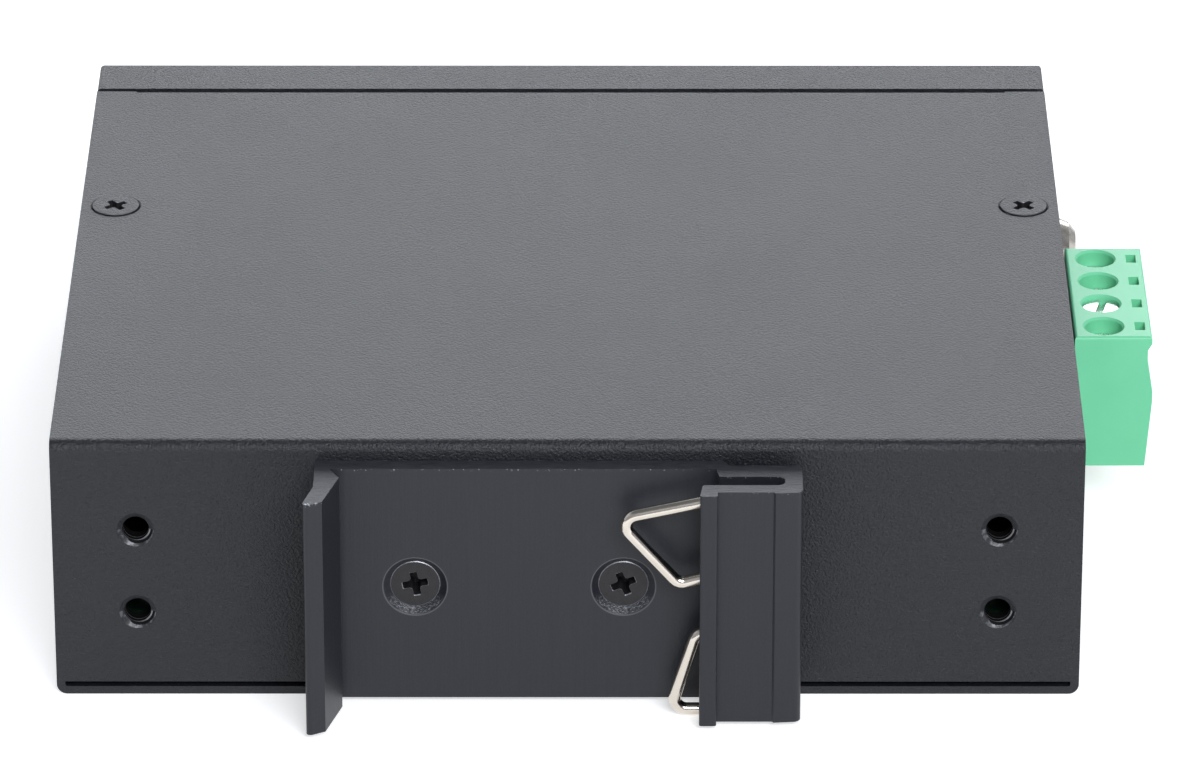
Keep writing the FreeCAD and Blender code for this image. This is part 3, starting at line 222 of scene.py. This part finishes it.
tape, shader, place = finish("polyester winding tape", {})
laps = place.stretch((1.0, 1.0, 6.0)).noise(300)
place.feed(shader, {
    "Base Color": laps.mix((0.52, 0.36, 0.03), (0.70, 0.52, 0.09)),
    "Roughness": 0.24 + laps * 0.14,
})
dress(tape, "transformer_bobbin")

# Network sockets and lamps: moulded black inserts with gilt spring contacts inside tinned shields,
# and two clear green lenses in black right-angle holders, all soldered to the board's front edge.

dress(black_moulding, "jack_out_insert", "jack_in_insert", "led_holders")

gilt, shader, place = finish("gilt contacts", {"Metallic": 1.0})
rub = place.noise(1500)
place.feed(shader, {
    "Base Color": rub.mix((0.78, 0.55, 0.20), (0.92, 0.72, 0.34)),
    "Roughness": 0.18 + rub * 0.14,
})
dress(gilt, "jack_out_contacts", "jack_in_contacts")

tinned, shader, place = finish("tinned sheet", {"Metallic": 1.0})
spangle = place.noise(700)
place.feed(shader, {
    "Base Color": spangle.mix((0.60, 0.60, 0.59), (0.76, 0.76, 0.75)),
    "Roughness": 0.26 + spangle * 0.2,
})
dress(tinned, "jack_out_shield", "jack_in_shield")

lens, shader, place = finish("green lens", {"Transmission Weight": 0.35, "IOR": 1.49})
haze = place.noise(900)
place.feed(shader, {
    "Base Color": haze.mix((0.22, 0.55, 0.18), (0.34, 0.70, 0.26)),
    "Roughness": 0.10 + haze * 0.08,
})
dress(lens, "status_leds")

# Ground screw: a pan head screw and a toothed washer, both plated in dull nickel.
# It is screwed into the end wall beyond the terminal, and clamps the washer's teeth on the sheet.

dull_nickel, shader, place = finish("dull nickel", {"Metallic": 1.0})
film = place.noise(1400, 3.0)
place.feed(shader, {
    "Base Color": film.mix((0.24, 0.22, 0.19), (0.62, 0.59, 0.54)),
    "Roughness": 0.14 + film * 0.14,
})
dress(dull_nickel, "ground_screw", "ground_washer")

# Terminal header and plug: light green moulded plastic, the plug with four screw wells and probe holes.
# The header is soldered to the board with tinned pins, and the plug goes into it through a window in the
# end wall. In the plug, zinc-plated slotted screws lift tinned cages against the contacts.

green, shader, place = finish("green moulding", {
    "Specular IOR Level": 0.4,
    "Subsurface Weight": 0.06,
    "Subsurface Scale": 0.0012,
    "Subsurface Radius": (0.4, 1.0, 0.7),
})
flow = place.noise(240)
spark = place.noise(5200)
place.feed(shader, {
    "Base Color": flow.mix((0.155, 0.61, 0.332), (0.186, 0.67, 0.378)),
    "Roughness": 0.38 + spark * 0.10,
    "Normal": spark.bump(0.10, 0.00002),
})
dress(green, "plug_housing", "terminal_header")
dress(tinned, "plug_contacts", "header_pins")
for pole in (1, 2, 3, 4):
    dress(zinc, f"terminal_screw_{pole}")
    dress(tinned, f"clamp_cage_{pole}")

# Rail clip: black anodised aluminium, extruded with its hook, channel and beaded lip, and sawn to length
# before it is coated. The die leaves faint lines along it, and bare metal shows at the chipped ends.
# The cutter's bites in the countersinks are painted bare only on their lower side, as painted light, and
# a thin lighter ring round each countersink's edge is a painted highlight.

clip_low, clip_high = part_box("din_clip")
screw_low, screw_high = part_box("din_clip_screws")
saw_depth, chip_reach, hook_reach = 0.00001, 0.00030, 0.0008
sink_radius, edge_line_width, sink_wall = 0.0030, 0.00010, 0.0005
sink_height = (screw_low.z + screw_high.z) / 2
half_span = (screw_high.x - screw_low.x - screw_high.z + screw_low.z) / 2

anodised, shader, place = finish("black anodised extrusion", {"Specular IOR Level": 0.46})
die_lines = place.stretch((1.0, 1.0, 0.02)).noise(5200)
pores = place.noise(5200)
saw_marks = place.stretch((0.2, 1.0, 1.0)).noise(4200, 3.0)
height = place.axis("Z")
sawn_top = height.step(clip_high.z - 3 * saw_depth, clip_high.z - saw_depth)
sawn_bottom = 1 - height.step(clip_low.z + saw_depth, clip_low.z + 3 * saw_depth)
sawn = sawn_top + sawn_bottom
near_end = height.step(clip_high.z - chip_reach, clip_high.z - 8 * saw_depth) * (1 - sawn_top)
hook_tip = 1 - place.axis("Y").step(clip_low.y + hook_reach / 4, clip_low.y + hook_reach)
flakes = place.noise(4200)
chips = (near_end * 0.5 + hook_tip * sawn_top) * (flakes + hook_tip * 0.10).step(0.60, 0.70)
aside = abs(place.axis("X") - (screw_low.x + screw_high.x) / 2) - half_span
from_screw = place.node("ShaderNodeCombineXYZ", {}, {"X": aside, "Z": height - sink_height})
radius = place.node("ShaderNodeVectorMath", {"operation": "LENGTH"}, {0: from_screw}, "Value")
round_screw = place.node("ShaderNodeCombineXYZ", {}, {"X": aside, "Y": radius * 7, "Z": height})
bites = round_screw.noise(4200).step(0.48, 0.66)
sunk = place.axis("Y").step(screw_low.y - 1.1 * sink_wall, screw_low.y - 0.9 * sink_wall)
# Painted light: the cutter's bites show only on the lower side of each countersink, where light falls.
lit_lower_side = (sink_height - height).step(0.0008, 0.0020)
inside_sink = 1 - radius.step(sink_radius - edge_line_width, sink_radius + 0.2 * edge_line_width)
lit_cutter_bites = inside_sink * sunk * lit_lower_side * bites
# Painted highlight: a thin lighter ring round each countersink's edge stands in for the edge catching
# light.
edge_glint_inside = radius.step(sink_radius - edge_line_width, sink_radius - 0.3 * edge_line_width)
edge_glint_outside = 1 - radius.step(sink_radius + 0.3 * edge_line_width, sink_radius + edge_line_width)
# bare adds the real chips to the painted light of the countersinks' lower bites and edge rings.
bare = chips + lit_cutter_bites * 0.5 + edge_glint_inside * edge_glint_outside * 0.15
coated = (die_lines * 0.4 + pores * 0.6).mix((0.004, 0.005, 0.008), (0.018, 0.020, 0.027))
rough_cut = saw_marks.mix((0.004, 0.005, 0.008), (0.050, 0.053, 0.062))
place.feed(shader, {
    "Base Color": bare.mix(sawn.mix(coated, rough_cut), (0.50, 0.51, 0.54)),
    "Roughness": 0.36 + pores * 0.14 + sawn * 0.10,
    "Metallic": bare * 0.8,
    "Normal": (die_lines * 0.3 + pores * 0.6 + saw_marks * sawn * 2.0).bump(0.5, 0.00006),
})
dress(anodised, "din_clip")

# Wire spring: one length of hard-drawn wire, bright nickel plated, bent round into two loops.
# It lies loose in the clip's channel, and its loops press a rail against the hook.

nickel, shader, place = finish("bright nickel wire", {"Metallic": 1.0})
draw_lines = place.stretch((0.3, 1.0, 0.3)).noise(5200)
tarnish = place.noise(420, 3.0)
place.feed(shader, {
    "Base Color": tarnish.mix((0.62, 0.56, 0.48), (0.80, 0.75, 0.68)),
    "Roughness": 0.10 + tarnish * 0.10 + draw_lines * 0.05,
    "Normal": draw_lines.bump(0.12, 0.00002),
})
dress(nickel, "din_clip_spring")

# Clip and cover screws: countersunk M3 steel screws with a cross recess, the clip's blackened to a satin
# black and the cover's powder coated. The black wears off along the head's rim and the recess's mouth,
# where the driver turns.

blackened, shader, place = finish("blackened steel", {"Specular IOR Level": 0.4})
scuffs = place.noise(1800)
fine = place.noise(7000)
place.feed(shader, {
    "Base Color": scuffs.mix((0.007, 0.007, 0.008), (0.020, 0.019, 0.021)),
    "Roughness": 0.36 + fine * 0.16,
    "Normal": fine.bump(0.5, 0.00006),
})

bare_steel, shader, place = finish("bare worn steel", {})
wear = place.noise(3600)
place.feed(shader, {
    "Base Color": wear.mix((0.06, 0.06, 0.07), (0.38, 0.38, 0.40)),
    "Metallic": 0.4 + wear * 0.4,
    "Roughness": 0.30 + wear * 0.2,
})


def scatter(name, bm, places, materials):
    """One piece on the box from copies of a shape, each put in its place by a matrix."""
    shape = bpy.data.meshes.new(name + "_shape")
    joined = bmesh.new()
    for place_matrix in places:
        bm.to_mesh(shape)
        shape.transform(place_matrix)
        joined.from_mesh(shape)
    bm.free()
    mesh = bpy.data.meshes.new(name)
    joined.to_mesh(mesh)
    joined.free()
    bpy.data.meshes.remove(shape)
    for material in materials:
        mesh.materials.append(material)
    piece = bpy.data.objects.new(name, mesh)
    bpy.context.scene.collection.objects.link(piece)
    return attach(piece, "box")


def made(grown, kind):
    """The vertices, edges or faces among what an operator made."""
    return [part for part in grown["geom"] if isinstance(part, kind)]


def cross_heads(name, coats, radius, rim, land, cone, length, heads):
    """Countersunk screws: heads lists each head's middle, the way it faces and its turn in degrees.

    From the top down a screw has a land with a bevelled rim, its cone and its shank. The coats are those
    of the head, of its worn edges and of the recess.
    """
    arm, half, depth, lip = 0.00125, 0.00036, 0.0022, 0.00006
    shank, bevel_share = 0.0012, 0.8
    inner_round, tip_round, hair = 0.00030, 0.00012, 0.000001
    lip_taper, floor_taper = 0.94, 0.82
    bm = bmesh.new()
    corners = [
        (half, half), (half, arm), (-half, arm), (-half, half), (-arm, half), (-arm, -half),
        (-half, -half), (-half, -arm), (half, -arm), (half, -half), (arm, -half), (arm, half),
    ]
    bm.faces.new([bm.verts.new((x, y, 0.0)) for x, y in corners])
    for reach, offset in ((half, inner_round), (arm, tip_round)):
        bends = [spot for spot in bm.verts if abs(max(map(abs, spot.co)) - reach) < hair]
        bmesh.ops.bevel(
            bm, geom=bends, offset=offset, segments=4, profile=0.5, affect="VERTICES", material=-1
        )
    mouth = bm.edges[:]
    floor = bm.faces[:]
    for taper, drop in ((lip_taper, lip), (floor_taper, depth - lip)):
        sunk = bmesh.ops.extrude_face_region(bm, geom=floor)
        bmesh.ops.delete(bm, geom=[face for face in floor if face.is_valid], context="FACES_ONLY")
        floor = made(sunk, bmesh.types.BMFace)
        bmesh.ops.scale(bm, vec=(taper, taper, 1.0), verts=made(sunk, bmesh.types.BMVert))
        bmesh.ops.translate(bm, vec=(0, 0, -drop), verts=made(sunk, bmesh.types.BMVert))
    worn = [face for line in mouth for face in line.link_faces]
    for face in bm.faces:
        face.material_index = 2
    width = radius - rim
    ring = bmesh.ops.create_circle(bm, cap_ends=False, segments=64, radius=width)["verts"]
    edge = list({line for spot in ring for line in spot.link_edges})
    bmesh.ops.triangle_fill(bm, use_beauty=True, edges=mouth + edge, normal=(0, 0, 1))
    bevel = bevel_share * land
    stages = ((radius, bevel), (radius, land - bevel), (shank, cone), (shank, length - land - cone))
    for wide, drop in stages:
        grown = bmesh.ops.extrude_edge_only(bm, edges=edge)
        edge = made(grown, bmesh.types.BMEdge)
        bmesh.ops.scale(bm, vec=(wide / width, wide / width, 1.0), verts=made(grown, bmesh.types.BMVert))
        bmesh.ops.translate(bm, vec=(0, 0, -drop), verts=made(grown, bmesh.types.BMVert))
        if width < wide:
            worn += made(grown, bmesh.types.BMFace)
        width = wide
    for face in worn:
        face.material_index = 1
    bmesh.ops.holes_fill(bm, edges=edge, sides=0)
    bmesh.ops.recalc_face_normals(bm, faces=bm.faces[:])
    places = []
    for middle, facing, turn in heads:
        towards = Vector((0, 0, 1)).rotation_difference(Vector(facing)).to_matrix().to_4x4()
        turned = Matrix.Rotation(math.radians(turn), 4, "Z")
        places.append(Matrix.Translation(middle) @ towards @ turned)
    return scatter(name, bm, places, coats)


low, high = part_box("din_clip_screws")
reach = (high.z - low.z) / 2
left, right, middle = low.x + reach, high.x - reach, (low.z + high.z) / 2
clip_heads = cross_heads(
    "clip_screw_heads", (blackened, bare_steel, blackened),
    radius=reach, rim=0.00008, land=0.00006, cone=0.0009, length=high.y - low.y,
    heads=[((left, low.y, middle), (0, -1, 0), 10), ((right, low.y, middle), (0, -1, 0), 22)],
)
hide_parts("din_clip_screws")

low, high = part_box("cover_screws")
reach = (high.y - low.y) / 2
left, right, middle = low.x + reach, high.x - reach, (low.y + high.y) / 2
rim_radius = 0.95 * reach
cover_heads = cross_heads(
    "cover_screw_heads", (powder_coat, bare_steel, blackened),
    radius=rim_radius, rim=0.00001, land=0.00012, cone=0.0007, length=high.z - low.z,
    heads=[((left, middle, high.z), (0, 0, 1), 35), ((right, middle, high.z), (0, 0, 1), 45)],
)
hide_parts("cover_screws")

# Bracket threads: four holes drawn through the back wall, countersunk, tapped M3 and then coated.
# Screws have bared the first turns' crests, which show as light rings that run out in the countersink.
# Deeper in, the whole thread is painted near black, as painted shade inside the bore, and the lower half
# of each mouth has a lighter painted sheen, where light falls on it.

# Painted shade: a near-black, dull coat for the thread beyond the bared crests, standing in for the dark
# inside each bore.
bore_shade, shader, place = finish("painted shade inside a bore", {"Specular IOR Level": 0.1, "Roughness": 0.7})
shade_mottle = place.noise(2400)
place.feed(shader, {"Base Color": shade_mottle.mix((0.001, 0.001, 0.001), (0.005, 0.005, 0.005))})

# Painted sheen: lighter grey patches on the lower half of each mouth, where light falls; the upper half
# gets none.
mouth_sheen, shader, place = finish("powder coat with painted sheen", {"Specular IOR Level": 0.5})
sheen_patches = place.noise(2200).step(0.45, 0.62)
place.feed(shader, {
    "Base Color": sheen_patches.mix((0.014, 0.014, 0.016), (0.10, 0.10, 0.115)),
    "Roughness": 0.42 - sheen_patches * 0.08,
})

pattern = next(mount for mount in frame["record"]["mounts"] if mount["name"] == "bracket_holes")
across = pattern["dims"]["spacing_x_mm"] / 1000
upright = pattern["dims"]["spacing_y_mm"] / 1000
clearance = 0.000005
root, crest, crest_width = pattern["dims"]["hole_r_mm"] / 1000 - clearance, 0.00120, 0.00009
pitch, turns, turn_steps, bare_crest_to_shade_depth = 0.0005, 4, 36, 0.00115
mouth_depth, mouth_radius, mouth_flare, mouth_steps = 0.00035, 0.00171, 1.40, 24
bm = bmesh.new()
crest_start, crest_end = (pitch - crest_width) / 2, (pitch + crest_width) / 2
outline = [(root, 0.0), (crest, crest_start), (crest, crest_end), (root, pitch)]
ridge = [bm.verts.new((x, 0, z)) for x, z in outline]
flanks = [bm.edges.new(ends) for ends in zip(ridge, ridge[1:])]
bmesh.ops.spin(
    bm, geom=ridge + flanks, cent=(0, 0, 0), axis=(0, 0, 1), dvec=(0, 0, pitch / turn_steps),
    angle=2 * math.pi * turns, steps=turn_steps * turns, use_merge=False, use_duplicate=False,
)
# Crests near the mouth take the bare steel; the rest of the thread takes the painted shade.
for face in bm.faces:
    on_crest = all(spot.co.xy.length < (crest + root) / 2 for spot in face.verts)
    face.material_index = int(on_crest and face.calc_center_median().z < bare_crest_to_shade_depth)
for spot in bm.verts:
    spot.co.xy *= 1 + mouth_flare * max(mouth_depth - spot.co.z, 0.0) / root
thread = set(bm.faces)
# The mouth's lower half ring carries the painted sheen.
bell = [bm.verts.new((root, 0, mouth_depth)), bm.verts.new((mouth_radius, 0, 0))]
bmesh.ops.spin(
    bm, geom=bell + [bm.edges.new(bell)], cent=(0, 0, 0), axis=(0, 0, 1), dvec=(0, 0, 0),
    angle=math.pi, steps=mouth_steps, use_merge=False, use_duplicate=False,
)
for face in set(bm.faces) - thread:
    face.material_index = 2
bmesh.ops.recalc_face_normals(bm, faces=bm.faces[:])
inward = Matrix.Rotation(-math.pi / 2, 4, "X")
middle = Vector(pattern["pos_m"]) + Vector((0, clearance, 0))
holes = [middle + Vector((x, 0, z)) for x in (-across / 2, across / 2) for z in (-upright / 2, upright / 2)]
places = [Matrix.Translation(hole) @ inward for hole in holes]
threads = scatter("bracket_threads", bm, places, (bore_shade, bare_steel, mouth_sheen))

# Floor, light and camera: a white paper floor in a studio with pale walls behind, greyer ones in front and
# a dark ceiling. A soft box behind shines along the upper side, and another stands in front on the right.
# The camera has a long lens and looks down from about 0.8 m away.

floor_reach = 3.0
mesh = bpy.data.meshes.new("paper_sweep")
bm = bmesh.new()
bmesh.ops.create_grid(bm, x_segments=1, y_segments=1, size=floor_reach)
bm.to_mesh(mesh)
bm.free()
sweep = bpy.data.objects.new("paper_sweep", mesh)
bpy.context.scene.collection.objects.link(sweep)
paper, shader, place = finish("white paper", {
    "Base Color": (0.75, 0.75, 0.75, 1.0),
    "Roughness": 0.9,
    "Specular IOR Level": 0.0,
    "Emission Strength": 0.54,
})
kinds = ("Camera", "Glossy", "Transmission")
seen = sum(place.node("ShaderNodeLightPath", {}, {}, f"Is {kind} Ray") for kind in kinds)
place.feed(shader, {"Emission Color": seen.mix((0.0, 0.0, 0.0), (1.0, 1.0, 1.0))})
mesh.materials.append(paper)

world = bpy.data.worlds.new("studio")
bpy.context.scene.world = world
world.use_nodes = True
studio = world.node_tree
direction = Term(studio, studio.nodes.new("ShaderNodeTexCoord").outputs["Generated"])
ceiling = direction.axis("Z").step(0.60, 0.86)
behind = direction.axis("Y").step(-0.7, 0.3)
walls = behind.mix((0.38, 0.39, 0.42), (0.76, 0.79, 0.84))
direction.feed(studio.nodes["Background"], {
    "Color": ceiling.mix(walls, (0.18, 0.19, 0.20)),
    "Strength": 0.9,
})


def soft_box(name, position, size, power):
    """A rectangular area lamp that faces the upper part of the box."""
    target = Vector((0, 0, 0.02))
    lamp = bpy.data.lights.new(name, "AREA")
    lamp.shape = "RECTANGLE"
    lamp.size, lamp.size_y = size
    lamp.energy = power
    lamp.color = (0.93, 0.95, 1.0)
    holder = bpy.data.objects.new(name, lamp)
    bpy.context.scene.collection.objects.link(holder)
    holder.location = position
    holder.rotation_euler = (target - Vector(position)).to_track_quat("-Z", "Y").to_euler()


soft_box("back_box", position=(0.0, 1.2, 0.58), size=(1.6, 0.55), power=12.7)
soft_box("front_box", position=(0.35, -1.2, 0.9), size=(0.8, 0.5), power=21.0)

look_down, look_left = 26.295, 0.034
camera = bpy.data.cameras.new("camera")
camera.sensor_fit = "HORIZONTAL"
camera.sensor_width = 36.0
camera.lens = 241.6
camera.clip_start = 0.01
camera.clip_end = 20.0
viewer = bpy.data.objects.new("camera", camera)
bpy.context.scene.collection.objects.link(viewer)
viewer.location = (0.003416, -0.7087, 0.3613)
viewer.rotation_euler = (math.radians(90 - look_down), 0.0, math.radians(look_left))
bpy.context.scene.camera = viewer
bpy.context.scene.view_settings.view_transform = "Standard"
